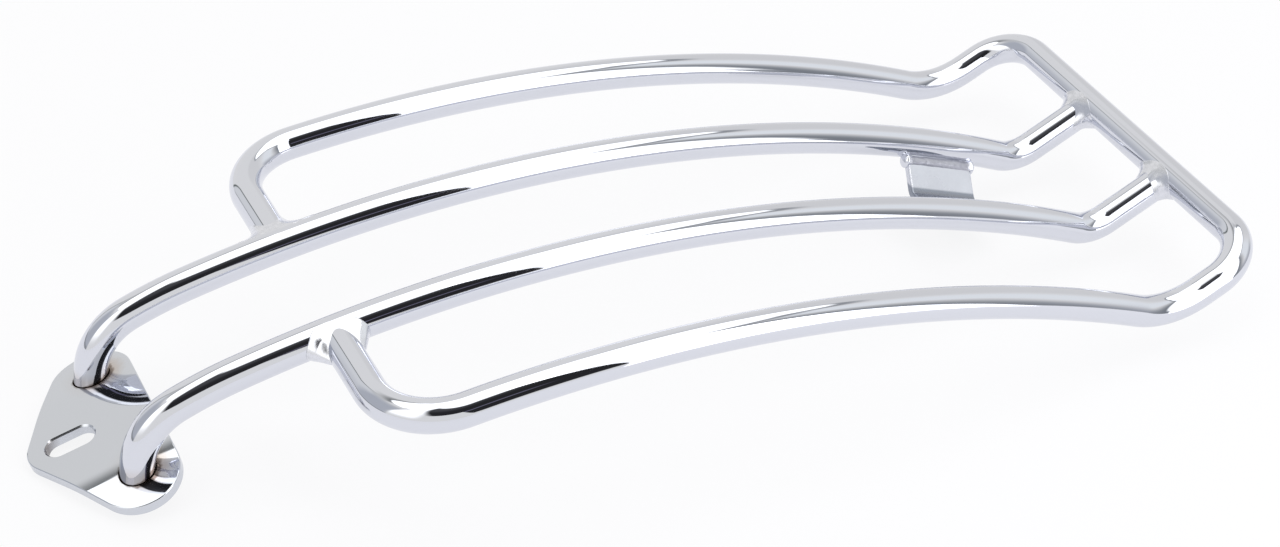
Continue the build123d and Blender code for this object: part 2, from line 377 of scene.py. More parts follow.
def puddles(u, v, count, seed, size):
    """Heights of overlapping weld puddles: the upper envelope of paraboloids about seeded points.

    Both u and v run from 0 to 1, and u wraps round. A point's height is the greatest of
    cap - (distance / size) squared over all the puddles, and at least 0.
    """
    dice = np.random.default_rng(seed)
    place = dice.random((count, 2))
    cap = 0.55 + 0.45 * dice.random(count)
    across = np.abs(u[..., None] - place[:, 0])
    across = np.minimum(across, 1 - across)
    gap = (across / size[0])**2 + ((v[..., None] - place[:, 1]) / size[1])**2
    return np.clip((cap - gap).max(axis=-1), 0, None)


def joint_bead(axis_point, bar, away, offset, sizes, seed, rough, form):
    """Fillet bead where one bar ends on another of the same size.

    For each angle round the ending bar a Bezier curve of degree two falls from a toe on that bar,
    past the crease where the bars meet, to a toe on the carrying bar. The run along the ending bar
    goes from run at the bead's sides to top run over and under the bar. Filling moves the curve's
    middle from the crease (0, hollow) towards the straight line (1, a flat chamfer). A swell and
    puddles lift it along its normal: the swell keeps to the sides by cos squared of the angle to the
    power sideways, and the puddles are highest at the rough angle, where the bead is also widest.
    The loop closes through the inside of the bars.
    """
    columns, outer, inner = 216, 44, 6
    toe_sink, back_sink, steepest = 0.05, 1.2, radians(84)
    puddle_count, puddle_size, rough_width = 30, (0.10, 0.45), 0.8
    radius = sizes.bar_diameter / 2 / MM
    spread = form.spread * sizes.bead_spread / MM
    run = form.run * sizes.bead_run / MM
    lump = form.lumps * sizes.puddle_height / MM
    up = np.cross(bar, away)
    turn = np.linspace(0, 2 * pi, columns, endpoint=False)
    fall = np.linspace(0, 1, outer)
    angle, v = np.meshgrid(turn, fall)
    lean = np.cos(angle)**2
    radial = np.cos(angle)[..., None] * bar + np.sin(angle)[..., None] * up
    crease_out = saddle_reach(offset + radius * np.sin(angle), radius)
    seat = axis_point + offset * up
    crease = seat + radius * radial + crease_out[..., None] * away
    dice = np.random.default_rng(seed)
    waves = dice.random((2, 5))
    wander = sum(a * np.cos((k + 2) * angle + 2 * pi * b) for k, (a, b) in enumerate(waves.T)) * 0.28
    toe_run = (form.top_run + (run - form.top_run) * lean) * (1 + 0.5 * wander)
    toe_bar = seat + (radius - toe_sink) * radial + (crease_out + toe_run)[..., None] * away
    swing = steepest * np.sin(angle)
    toe_out = np.cos(swing)[..., None] * away + np.sin(swing)[..., None] * up
    reach = (radius + spread * (1 + 0.45 * wander + 0.2 * np.cos(angle - rough))) * np.cos(angle)
    toe_carrier = axis_point + (radius - toe_sink) * toe_out + reach[..., None] * bar
    t = v[..., None]
    bend = crease + form.filling * ((toe_bar + toe_carrier) / 2 - crease)
    surface = (1 - t)**2 * toe_bar + 2 * t * (1 - t) * bend + t**2 * toe_carrier
    normal = radial + away
    normal /= np.linalg.norm(normal, axis=-1, keepdims=True)
    window = np.sin(pi * v)**0.7
    near_rough = 0.25 + 0.75 * np.exp(-(((angle - rough + pi) % (2 * pi) - pi) / rough_width)**2)
    lumps = puddles(angle / (2 * pi), v, puddle_count, seed, puddle_size)
    lift = window * (form.swell * lean**form.sideways + lump * near_rough * lumps * 1.6)
    surface = surface + lift[..., None] * normal
    sink = np.linspace(0, 1, inner + 2)[1:-1, None, None]
    low = axis_point + (radius - back_sink) * toe_out[-1] + reach[-1][:, None] * 0.97 * bar
    high = seat + (radius - back_sink) * radial[0] + (crease_out + toe_run)[0][:, None] * away
    deep = crease[0] - back_sink * normal[0]
    back = (1 - sink)**2 * low + 2 * sink * (1 - sink) * deep + sink**2 * high
    rings = np.concatenate([surface, back])
    faces = ring_faces(len(rings), columns, closed_rows=True)
    return rings.reshape(-1, 3), [face[::-1] for face in faces]


def tab_bead(middle, heading, half, diameter, blobs, seed):
    """Bead along the tab: a tube that swells into ripples, and into a blob at each end.

    Radius = half the diameter x (0.9 + small shares of the puddles, the end blobs and a slow sway),
    times a round end that closes it to a point. The sway also bends the tube's axis.
    """
    rows, columns = 150, 48
    puddle_count, puddle_size = 90, (0.12, 0.04)
    dice = np.random.default_rng(seed)
    place = np.linspace(-1, 1, rows)
    turn = np.linspace(0, 2 * pi, columns, endpoint=False)
    s, t = np.meshgrid(place, turn, indexing="ij")
    lumps = puddles(t / (2 * pi), (s + 1) / 2, puddle_count, seed, puddle_size)
    sway = sum(np.sin((k + 1.3) * 2.1 * s + dice.random() * 6) for k in range(4)) * 0.12
    ends = blobs * np.exp(-((np.abs(s) - 0.93) / 0.09)**2)
    round_end = np.sqrt(np.clip(1 - np.clip((np.abs(s) - 0.9) / 0.1, 0, 1)**2, 0.0004, 1))
    radius = diameter / 2 * (0.9 + 0.05 * lumps + 0.3 * ends + 0.05 * sway) * round_end
    second = np.cross(heading, RIGHT)
    centre = middle + (s * half)[..., None] * heading + (0.35 * sway)[..., None] * second
    rings = centre + radius[..., None] * (np.cos(t)[..., None] * RIGHT + np.sin(t)[..., None] * second)
    return closed_rings(rings)


def plug_weld(side, rise):
    """Plug weld under the plate: a disc round the rail's axis, cut to the ear's underside.

    Its underside swells and carries the swirl of the torch: depth under the ear
    = rise x (1 - r squared) + a ripple that winds round as r grows.
    """
    rows, columns, windings = 40, 96, 4.5
    flip = (1, side, 1)
    normal = EAR_NORMAL * flip
    first = np.cross(RIGHT, FOOT)
    turn = np.linspace(0, 2 * pi, columns, endpoint=False)
    r, t = np.meshgrid(np.linspace(0.02, 1, rows), turn, indexing="ij")
    swirl = np.cos(2 * pi * windings * r - t) * 0.12 + 0.05 * np.cos(7 * t + 9 * r)
    depth = rise * (1 - r**2) + swirl * np.sin(pi * r) * 0.8
    spoke = PLUG_RADIUS * r[..., None] * (np.cos(t)[..., None] * first + np.sin(t)[..., None] * RIGHT)
    spoke -= (spoke @ normal / (FOOT @ normal))[..., None] * FOOT
    foot = EAR_POINT * flip
    under = foot + spoke - depth[..., None] * FOOT
    lid = foot + spoke[[-1, 0]] + PLUG_HEIGHT / (FOOT @ normal) * FOOT
    points, faces = closed_rings(np.concatenate([under, lid]))
    return points, [face[::-1] for face in faces]


def weld_piece(name, node, points, faces, material):
    """A weld's mesh, standing for its CAD node."""
    piece = mesh_piece(name, points, faces, material)
    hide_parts(node)
    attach(piece, "root")


# Finishes

def polished_bar_chrome(colours):
    """Bright chrome plated over polished steel bar.

    A clear mirror. The buffing leaves the surface very slightly wavy over 12 mm, so long reflections
    waver, with faint lengthwise polishing lines and a few dull finger smudges. Welding has left
    patches of straw tint on the rails' feet.
    """
    material, tree = new_material("bright_chrome_on_polished_bar")
    coordinates = add_node(tree, "ShaderNodeTexCoord").outputs
    place = coordinates["Object"]
    axes = add_node(tree, "ShaderNodeSeparateXYZ", {"Vector": place}).outputs
    wave = add_node(tree, "ShaderNodeTexNoise", {
        "Vector": place, "Scale": 1 / (12 * MM), "Detail": 1.0, "Roughness": 0.4})
    ripple = add_node(tree, "ShaderNodeBump", {"Height": wave, "Strength": 0.05, "Distance": 0.35 * MM})
    smudge = add_node(tree, "ShaderNodeTexNoise", {
        "Vector": place, "Scale": 1 / (30 * MM), "Detail": 4.0, "Roughness": 0.6})
    stretch = add_node(tree, "ShaderNodeMapping", {
        "Vector": coordinates["UV"], "Scale": (1 / (0.25 * MM), 1 / (14 * MM), 1)})
    lines = add_node(tree, "ShaderNodeTexNoise", {"Vector": stretch, "Scale": 1.0, "Detail": 2.0})
    polish = add_node(tree, "ShaderNodeMath", {0: smudge, 1: lines}, operation="MULTIPLY")
    rough = add_node(tree, "ShaderNodeMapRange", {
        "Value": polish, "From Min": 0.12, "From Max": 0.5, "To Min": 0.02, "To Max": 0.07})
    heat = add_node(tree, "ShaderNodeMapRange", {
        "Value": axes["Z"], "From Min": 9 * MM, "From Max": 4 * MM, "To Max": 0.7},
        interpolation_type="SMOOTHSTEP")
    ahead = add_node(tree, "ShaderNodeMapRange", {
        "Value": axes["X"], "From Min": 40 * MM, "From Max": 30 * MM})
    foot = add_node(tree, "ShaderNodeMath", {0: heat, 1: ahead}, operation="MULTIPLY")
    patch = add_node(tree, "ShaderNodeMath", {0: foot, 1: smudge}, operation="MULTIPLY")
    tint = add_node(tree, "ShaderNodeMix", {
        "Factor": patch, "A": (*colours.chrome, 1), "B": (*colours.straw, 1)}, data_type="RGBA")
    shader = add_node(tree, "ShaderNodeBsdfPrincipled", {
        "Base Color": tint, "Metallic": 1.0, "Roughness": rough, "Normal": ripple})
    add_node(tree, "ShaderNodeOutputMaterial", {"Surface": shader})
    return material


def plate_chrome(colours):
    """Chrome over stamped and folded plate, with straw heat tint round the rail holes.

    Flatter polish than the bars: soft unevenness over 18 mm bends the reflections, fine scratches
    dull it a little, and the welding of the rails has browned it in irregular rings. The punched
    wall of the slot stays dull, with a brown stain at its front end. The right ear is buffed less.
    """
    material, tree = new_material("chrome_on_stamped_plate")
    place = add_node(tree, "ShaderNodeTexCoord").outputs["Object"]
    axes = add_node(tree, "ShaderNodeSeparateXYZ", {"Vector": place}).outputs
    wave = add_node(tree, "ShaderNodeTexNoise", {
        "Vector": place, "Scale": 1 / (18 * MM), "Detail": 2.0, "Roughness": 0.45})
    ripple = add_node(tree, "ShaderNodeBump", {"Height": wave, "Strength": 0.05, "Distance": 0.5 * MM})
    grain = add_node(tree, "ShaderNodeTexNoise", {
        "Vector": place, "Scale": 1 / (2.5 * MM), "Detail": 5.0, "Roughness": 0.65})

    # Straw rings and burnt rims round the rail holes
    holes = ((0.4 * MM, -28.8 * MM, 2.8 * MM), (0.4 * MM, 28.8 * MM, 2.8 * MM))
    reach = [add_node(tree, "ShaderNodeVectorMath", {0: place, 1: hole}, operation="DISTANCE")
             for hole in holes]
    nearest = add_node(tree, "ShaderNodeMath", {0: reach[0], 1: reach[1]}, operation="MINIMUM")
    wobble = add_node(tree, "ShaderNodeMath", {0: grain, 1: -3.0 * MM, 2: nearest},
                      operation="MULTIPLY_ADD")
    ring = add_node(tree, "ShaderNodeMapRange", {
        "Value": wobble, "From Min": 12 * MM, "From Max": 6 * MM, "To Max": 0.6},
        interpolation_type="SMOOTHSTEP")
    behind = add_node(tree, "ShaderNodeMapRange", {
        "Value": axes["X"], "From Min": -4 * MM, "From Max": 8 * MM, "To Min": 0.15})
    halo = add_node(tree, "ShaderNodeMath", {0: ring, 1: behind}, operation="MULTIPLY")
    tint = add_node(tree, "ShaderNodeMix", {
        "Factor": halo, "A": (*colours.plate_chrome, 1), "B": (*colours.straw, 1)}, data_type="RGBA")
    rim = add_node(tree, "ShaderNodeMapRange", {
        "Value": wobble, "From Min": 6.9 * MM, "From Max": 5.8 * MM, "To Max": 0.75})
    burnt = add_node(tree, "ShaderNodeMix", {
        "Factor": rim, "A": tint, "B": (*colours.scale, 1)}, data_type="RGBA")

    # The slot's wall: what lies below the plate's top near its middle
    height = add_node(tree, "ShaderNodeVectorMath", {0: place, 1: tuple(above(PLATE_SLOPE))},
                      operation="DOT_PRODUCT")
    sunk = add_node(tree, "ShaderNodeMapRange", {
        "Value": height, "From Min": 3.95 * MM, "From Max": 3.8 * MM})
    beside = add_node(tree, "ShaderNodeMath", {0: axes["Y"]}, operation="ABSOLUTE")
    inside = add_node(tree, "ShaderNodeMath", {0: beside, 1: 6.5 * MM}, operation="LESS_THAN")
    past_edge = add_node(tree, "ShaderNodeMath", {0: axes["X"], 1: -28 * MM}, operation="GREATER_THAN")
    punched = add_node(tree, "ShaderNodeMath", {0: inside, 1: past_edge}, operation="MULTIPLY")
    wall = add_node(tree, "ShaderNodeMath", {0: punched, 1: sunk}, operation="MULTIPLY")
    front_end = add_node(tree, "ShaderNodeMapRange", {
        "Value": axes["X"], "From Min": -19 * MM, "From Max": -24 * MM, "To Max": 0.6})
    stain = add_node(tree, "ShaderNodeMath", {0: wall, 1: front_end}, operation="MULTIPLY")
    stain_and_shade = add_node(tree, "ShaderNodeMix", {
        "Factor": stain, "A": burnt, "B": (*colours.scale, 1)}, data_type="RGBA")

    # Polish: scratched all over, duller on the right ear and in the slot
    rough = add_node(tree, "ShaderNodeMapRange", {
        "Value": grain, "From Min": 0.3, "From Max": 0.7, "To Min": 0.03, "To Max": 0.05})
    unbuffed = add_node(tree, "ShaderNodeMapRange", {
        "Value": axes["Y"], "From Min": 17 * MM, "From Max": 24 * MM, "To Max": 0.09})
    dull = add_node(tree, "ShaderNodeMath", {0: rough, 1: unbuffed}, operation="ADD")
    finish = add_node(tree, "ShaderNodeMath", {0: wall, 1: 0.2, 2: dull}, operation="MULTIPLY_ADD")
    shader = add_node(tree, "ShaderNodeBsdfPrincipled", {
        "Base Color": stain_and_shade, "Metallic": 1.0, "Roughness": finish, "Normal": ripple})
    add_node(tree, "ShaderNodeOutputMaterial", {"Surface": shader})
    return material


def tab_chrome(colours):
    """Thin chrome over sheared strip that was not buffed: a satin face with a soft sheen.

    The rolled surface stays under the plating, so its reflections are blurred and its grain shows;
    in the bend the colour is painted darker, as painted shade that stands for the dark reflection there.
    """
    material, tree = new_material("satin_chrome_on_bent_strip")
    place = add_node(tree, "ShaderNodeTexCoord").outputs["Object"]
    grain = add_node(tree, "ShaderNodeTexNoise", {
        "Vector": place, "Scale": 1 / (1.2 * MM), "Detail": 6.0, "Roughness": 0.6})
    pits = add_node(tree, "ShaderNodeBump", {"Height": grain, "Strength": 0.1, "Distance": 0.1 * MM})
    cloud = add_node(tree, "ShaderNodeTexNoise", {"Vector": place, "Scale": 1 / (9 * MM), "Detail": 3.0})
    rough = add_node(tree, "ShaderNodeMapRange", {
        "Value": cloud, "From Min": 0.3, "From Max": 0.7, "To Min": 0.2, "To Max": 0.3})
    cool = add_node(tree, "ShaderNodeMix", {
        "Factor": cloud, "A": (*colours.tab_chrome, 1), "B": (*linear("#D2D4DD"), 1)}, data_type="RGBA")
    climb = add_node(tree, "ShaderNodeVectorMath", {0: place, 1: TAB_UP}, operation="DOT_PRODUCT")
    rail_level = float(np.dot(TAB_ORIGIN, TAB_UP))
    # Painted shade: the bend is coloured dark grey in place of the dark reflection that it shows
    bend = add_node(tree, "ShaderNodeMapRange", {
        "Value": climb, "From Min": (rail_level - 11.6) * MM, "From Max": (rail_level - 12.4) * MM,
        "To Max": 0.85}, interpolation_type="SMOOTHSTEP")
    stain_and_shade = add_node(tree, "ShaderNodeMix", {
        "Factor": bend, "A": cool, "B": (*linear("#868C98"), 1)}, data_type="RGBA")
    shader = add_node(tree, "ShaderNodeBsdfPrincipled", {
        "Base Color": stain_and_shade, "Metallic": 1.0, "Roughness": rough, "Normal": pits})
    add_node(tree, "ShaderNodeOutputMaterial", {"Surface": shader})
    return material


def weld_chrome(colours):
    """Chrome over weld bead: bright but broken up by the puddles and their small grains of scale."""
    material, tree = new_material("chrome_over_weld_bead")
    place = add_node(tree, "ShaderNodeTexCoord").outputs["Object"]
    grain = add_node(tree, "ShaderNodeTexNoise", {
        "Vector": place, "Scale": 1 / (2.2 * MM), "Detail": 2.0, "Roughness": 0.5})
    lumps = add_node(tree, "ShaderNodeBump", {"Height": grain, "Strength": 0.14, "Distance": 0.25 * MM})
    rough = add_node(tree, "ShaderNodeMapRange", {
        "Value": grain, "From Min": 0.3, "From Max": 0.7, "To Min": 0.13, "To Max": 0.26})
    dull = add_node(tree, "ShaderNodeMix", {
        "Factor": grain, "A": (*colours.weld_chrome, 1), "B": (*linear("#D2D4DB"), 1)}, data_type="RGBA")
    shader = add_node(tree, "ShaderNodeBsdfPrincipled", {
        "Base Color": dull, "Metallic": 1.0, "Roughness": rough, "Normal": lumps})
    add_node(tree, "ShaderNodeOutputMaterial", {"Surface": shader})
    return material


def tab_bead_chrome(colours):
    """Plating over the tab's rough bead: dull grey grain between the two bright blobs at its ends."""
    material, tree = new_material("thin_chrome_on_tab_bead")
    place = add_node(tree, "ShaderNodeTexCoord").outputs["Object"]
    grain = add_node(tree, "ShaderNodeTexNoise", {
        "Vector": place, "Scale": 1 / (0.9 * MM), "Detail": 4.0, "Roughness": 0.6})
    pits = add_node(tree, "ShaderNodeBump", {"Height": grain, "Strength": 0.3, "Distance": 0.2 * MM})
    along_bead = add_node(tree, "ShaderNodeVectorMath", {0: place, 1: TAB_HEADING}, operation="DOT_PRODUCT")
    middle = float(np.dot(TAB_ORIGIN, TAB_HEADING)) * MM
    off_middle = add_node(tree, "ShaderNodeMath", {0: along_bead, 1: middle}, operation="SUBTRACT")
    away = add_node(tree, "ShaderNodeMath", {0: off_middle}, operation="ABSOLUTE")
    bright = add_node(tree, "ShaderNodeMapRange", {
        "Value": away, "From Min": 14 * MM, "From Max": 16.5 * MM}, interpolation_type="SMOOTHSTEP")
    rough = add_node(tree, "ShaderNodeMapRange", {"Value": bright, "To Min": 0.42, "To Max": 0.1})
    dull = add_node(tree, "ShaderNodeMix", {
        "Factor": grain, "A": (*linear("#A4A5AE"), 1), "B": (*linear("#CDCED8"), 1)}, data_type="RGBA")
    plated = add_node(tree, "ShaderNodeMix", {
        "Factor": bright, "A": dull, "B": (*colours.chrome, 1)}, data_type="RGBA")
    shader = add_node(tree, "ShaderNodeBsdfPrincipled", {
        "Base Color": plated, "Metallic": 1.0, "Roughness": rough, "Normal": pits})
    add_node(tree, "ShaderNodeOutputMaterial", {"Surface": shader})
    return material


def plug_scale(colours):
    """Weld metal burnt brown in the plate's holes, where the plating hardly reached: dull, patchy."""
    material, tree = new_material("burnt_plug_weld")
    place = add_node(tree, "ShaderNodeTexCoord").outputs["Object"]
    patch = add_node(tree, "ShaderNodeTexNoise", {
        "Vector": place, "Scale": 1 / (3 * MM), "Detail": 5.0, "Roughness": 0.6})
    pits = add_node(tree, "ShaderNodeBump", {"Height": patch, "Strength": 0.4, "Distance": 0.3 * MM})
    rough = add_node(tree, "ShaderNodeMapRange", {
        "Value": patch, "From Min": 0.3, "From Max": 0.7, "To Min": 0.3, "To Max": 0.55})
    burn = add_node(tree, "ShaderNodeMix", {
        "Factor": patch, "A": (*colours.scale, 1), "B": (*linear("#8F8378"), 1)}, data_type="RGBA")
    shader = add_node(tree, "ShaderNodeBsdfPrincipled", {
        "Base Color": burn, "Metallic": 1.0, "Roughness": rough, "Normal": pits})
    add_node(tree, "ShaderNodeOutputMaterial", {"Surface": shader})
    return material


def finish_named(name, make, colours):
    """The finish of that name, made the first time that it is wanted."""
    return bpy.data.materials.get(name) or make(colours)


# The studio's patches: radiance, then the sides as longitude weight, latitude weight, limit, softness

WALL, WHITE, SEAM, EDGE = (0.895, 0.888, 0.862), (1.7, 1.7, 1.66), (0.66, 0.66, 0.65), (0.36, 0.37, 0.38)
SHADE, DARK = (0.25, 0.267, 0.285), (0.024, 0.024, 0.026)
STUDIO = (
    # Rear wall: its right part, its bright middle and its dim foot
    ((0.815, 0.808, 0.788), ((1, 0, 102, 9), (-1, 0, -148, 5))),
    ((0.96, 0.985, 0.985), ((1, 0, 64, 5), (-1, 0, -92, 9))),
    ((0.52, 0.53, 0.56), ((1, 0, 42, 5), (-1, 0, -94, 8), (0, -1, -14, 11))),
    # Wall in front on the right: dark edge, pale frame, grey face and dim foot, and the dark above it
    ((0.16, 0.18, 0.17), ((1, 0, -154, 1), (-1, 0, 90, 4), (0, -1, -46, 7))),
    ((0.80, 0.81, 0.81), ((1, 0, -151.5, 1.2), (-1, 0, 90, 4), (0, -1, -46, 7))),
    ((0.52, 0.54, 0.58), ((1, 0, -136, 9), (-1, 0, 90, 4), (0, -1, -46, 7))),
    ((0.30, 0.31, 0.32), ((1, 0, -145, 8), (-1, 0, 90, 4), (0, -1, -3, 2))),
    ((0.14, 0.15, 0.15), ((1, 0, -180, 1), (-1, 0, 128, 6), (0, 1, 52, 6))),
    # Grey edges of the ceiling and of its slanted panel, then the white of both
    (SEAM, ((1, 0, 130, 3), (0, 1, 55.4, 1.6))),
    (EDGE, ((1, 0, 56, 3), (0, 1, 55.2, 1.6), (-1, 0, -126, 3))),
    (EDGE, ((0.35, 1, 86, 1.8), (-0.465, 1, -12.6, 1.8))),
    (WHITE, ((0, 1, 58, 0.7),)),
    (WHITE, ((-1, 0, 100, 3), (0, 1, 55.8, 0.6))),
    (WHITE, ((0.35, 1, 88.8, 0.7), (-0.465, 1, -9.8, 0.7))),
    # White window in front on the left
    (WHITE, ((1, 0, -88, 3), (-1, 0, 55, 8), (0, 1, 16, 12))),
    # Shaded screen on the left, with a white one beside it
    (SHADE, ((1, -0.29, 30, 2), (-1, 0.2, -48.5, 11), (0, -1, -57, 3))),
    (WHITE, ((1, 0, 16, 1), (-1, 0.29, -35, 2), (0, 1, 10, 6))),
    # Dark doorway on the left, its paler head, its lower part and the dim strip between
    (DARK, ((1, 0.7, -20, 7), (-1, 0, -24, 1.5), (0, 1, 33, 0.8), (-0.12, -1, -67.5, 2.2))),
    ((0.075, 0.075, 0.08), ((1, 0.7, -20, 7), (-1, 0, -24, 1.5), (0, 1, 58, 9), (-0.12, -1, -67.5, 2.2))),
    (DARK, ((-1, 0, -24, 1.5), (1.857, 1, 29.3, 1.2), (0, 1, 6, 2), (0, -1, -40, 2))),
    ((0.19, 0.18, 0.25), ((1, 0, 0, 2), (-1, 0, -16, 2), (0, 1, 29.5, 1), (0, -1, -33, 1))),
)


# Operators

class RACK_OT_hoop(bpy.types.Operator):
    """Sweeps the outer hoop as one smooth polished bar"""
    bl_idname = "rack.hoop"
    bl_label = "Outer hoop"

    def execute(self, context):
        radius, colours = context.scene.rack_sizes.bar_diameter / 2 / MM, context.scene.rack_colours
        chrome = finish_named("bright_chrome_on_polished_bar", polished_bar_chrome, colours)
        bar_piece("hoop_bar", "outer_hoop", hoop_rings(radius), radius, chrome)
        return {"FINISHED"}


class RACK_OT_rails(bpy.types.Operator):
    """Sweeps the two inner rails as smooth polished bars"""
    bl_idname = "rack.rails"
    bl_label = "Inner rails"

    def execute(self, context):
        radius, colours = context.scene.rack_sizes.bar_diameter / 2 / MM, context.scene.rack_colours
        chrome = finish_named("bright_chrome_on_polished_bar", polished_bar_chrome, colours)
        for name, side in SIDES:
            bar_piece(f"{name}_rail_bar", f"{name}_inner_rail", rail_rings(side, radius), radius, chrome)
        return {"FINISHED"}


class RACK_OT_joint_welds(bpy.types.Operator):
    """Lays the fillet beads at the hoop's legs and at the crossbar"""
    bl_idname = "rack.joint_welds"
    bl_label = "Joint welds"

    def execute(self, context):
        sizes, colours = context.scene.rack_sizes, context.scene.rack_colours
        chrome = finish_named("chrome_over_weld_bead", weld_chrome, colours)
        for (name, side), seed, form in zip(SIDES, (5, 11), (LEFT_LEG_BEAD, RIGHT_LEG_BEAD)):
            middle = side * RAIL_Y * RIGHT
            on_rail = CROWN_CENTRE + above(LEG_SLOPE) * CROWN_RADIUS + middle
            points, faces = joint_bead(on_rail, side * along(LEG_SLOPE), side * RIGHT, LEG_HEIGHT,
                                       sizes, seed, LEG_ROUGH, form)
            weld_piece(f"{name}_leg_bead", f"{name}_leg_weld", points, faces, chrome)
            tail_end = rail_rings(side, sizes.bar_diameter / 2 / MM)[-1].mean(axis=0)
            points, faces = joint_bead(CROSSBAR + middle, RIGHT, -TAIL, (tail_end - CROSSBAR) @ TAIL_UP,
                                       sizes, seed + 2, CROSSBAR_ROUGH, CROSSBAR_BEAD)
            weld_piece(f"{name}_crossbar_bead", f"{name}_crossbar_weld", points, faces, chrome)
        return {"FINISHED"}


class RACK_OT_plate_welds(bpy.types.Operator):
    """Fills the bottom of the plate's rail holes with plug welds"""
    bl_idname = "rack.plate_welds"
    bl_label = "Plug welds"

    def execute(self, context):
        sizes, colours = context.scene.rack_sizes, context.scene.rack_colours
        scale = finish_named("burnt_plug_weld", plug_scale, colours)
        for name, side in SIDES:
            points, faces = plug_weld(side, sizes.plug_rise / MM)
            weld_piece(f"{name}_plug", f"{name}_plate_weld", points, faces, scale)
        return {"FINISHED"}


class RACK_OT_tab_welds(bpy.types.Operator):
    """Lays the beads along the tab, one on each face"""
    bl_idname = "rack.tab_welds"
    bl_label = "Tab welds"

    def execute(self, context):
        sizes, colours = context.scene.rack_sizes, context.scene.rack_colours
        chrome = finish_named("thin_chrome_on_tab_bead", tab_bead_chrome, colours)
        diameter = sizes.tab_bead_diameter / MM
        for name, middle, half, blobs, seed in (
                ("inner", (356.0, 22.21, 16.03), 18.6, 1.0, 3),
                ("outer", (356.037, 24.988, 16.135), 13.4, 0.2, 8)):
            points, faces = tab_bead(np.array(middle), np.array(TAB_HEADING), half, diameter, blobs, seed)
            weld_piece(f"tab_{name}_bead", f"tab_{name}_weld", points, faces, chrome)
        return {"FINISHED"}


class RACK_OT_plate_and_tab(bpy.types.Operator):
    """Gives the front plate and the rear tab their chrome"""
    bl_idname = "rack.plate_and_tab"
    bl_label = "Plate and tab finish"

    def execute(self, context):
        colours = context.scene.rack_colours
        for node, name, make in (("front_plate", "chrome_on_stamped_plate", plate_chrome),
                                 ("rear_tab", "satin_chrome_on_bent_strip", tab_chrome)):
            finish = finish_named(name, make, colours)
            for slot in frame["nodes"][node].material_slots:
                slot.material = finish
        return {"FINISHED"}


